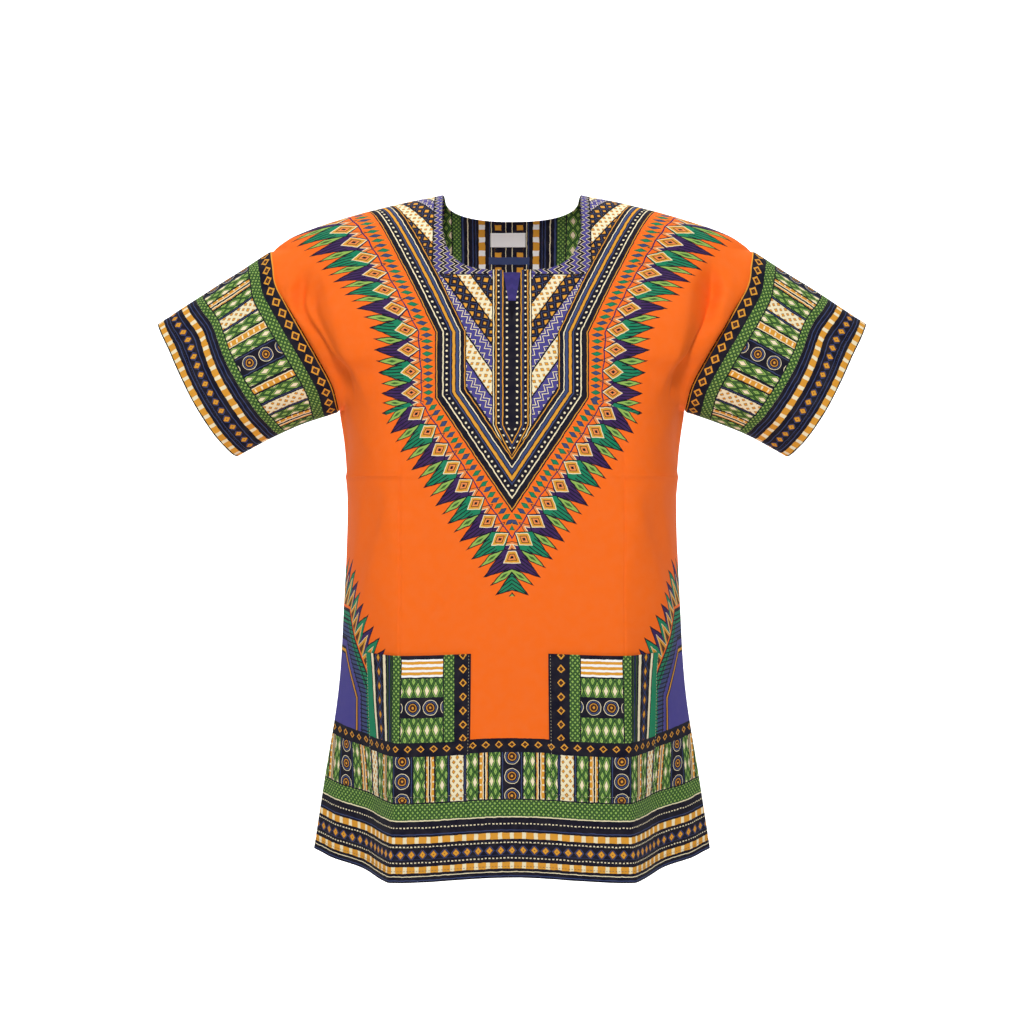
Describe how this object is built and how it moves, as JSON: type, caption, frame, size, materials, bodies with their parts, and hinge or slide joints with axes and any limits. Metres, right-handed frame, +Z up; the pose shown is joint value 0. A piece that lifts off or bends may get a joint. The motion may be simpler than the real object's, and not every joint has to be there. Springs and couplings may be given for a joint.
{
  "type": "dashiki shirt",
  "caption": "Pullover dashiki shirt, worn form and hollow: straight body with flared hem, drop shoulders, short wide sleeves, slit neckline, patch pockets and a back-neck facing.",
  "frame": {"origin": "midway between the two neck points, on the line of the shoulder seams, at the height of the neck points", "axes": "+Z up the wearer's body, -Y out of the front, +X towards the right of the picture, which is the wearer's left"},
  "size_m": [0.8042, 0.2672, 0.7577],
  "materials": {
    "printed_body": "matt woven cotton, orange ground with printed bands",
    "printed_border": "matt woven cotton printed in green, navy, cream and gold",
    "label_white": "white woven label, blank"
  },
  "bodies": {
    "root": {"body_front": "printed_body", "body_back": "printed_body", "sleeve_left": "printed_border", "sleeve_right": "printed_border", "pocket_left": "printed_border", "pocket_right": "printed_border", "neck_facing": "printed_border", "neck_label": "label_white"}
  },
  "joints": []
}
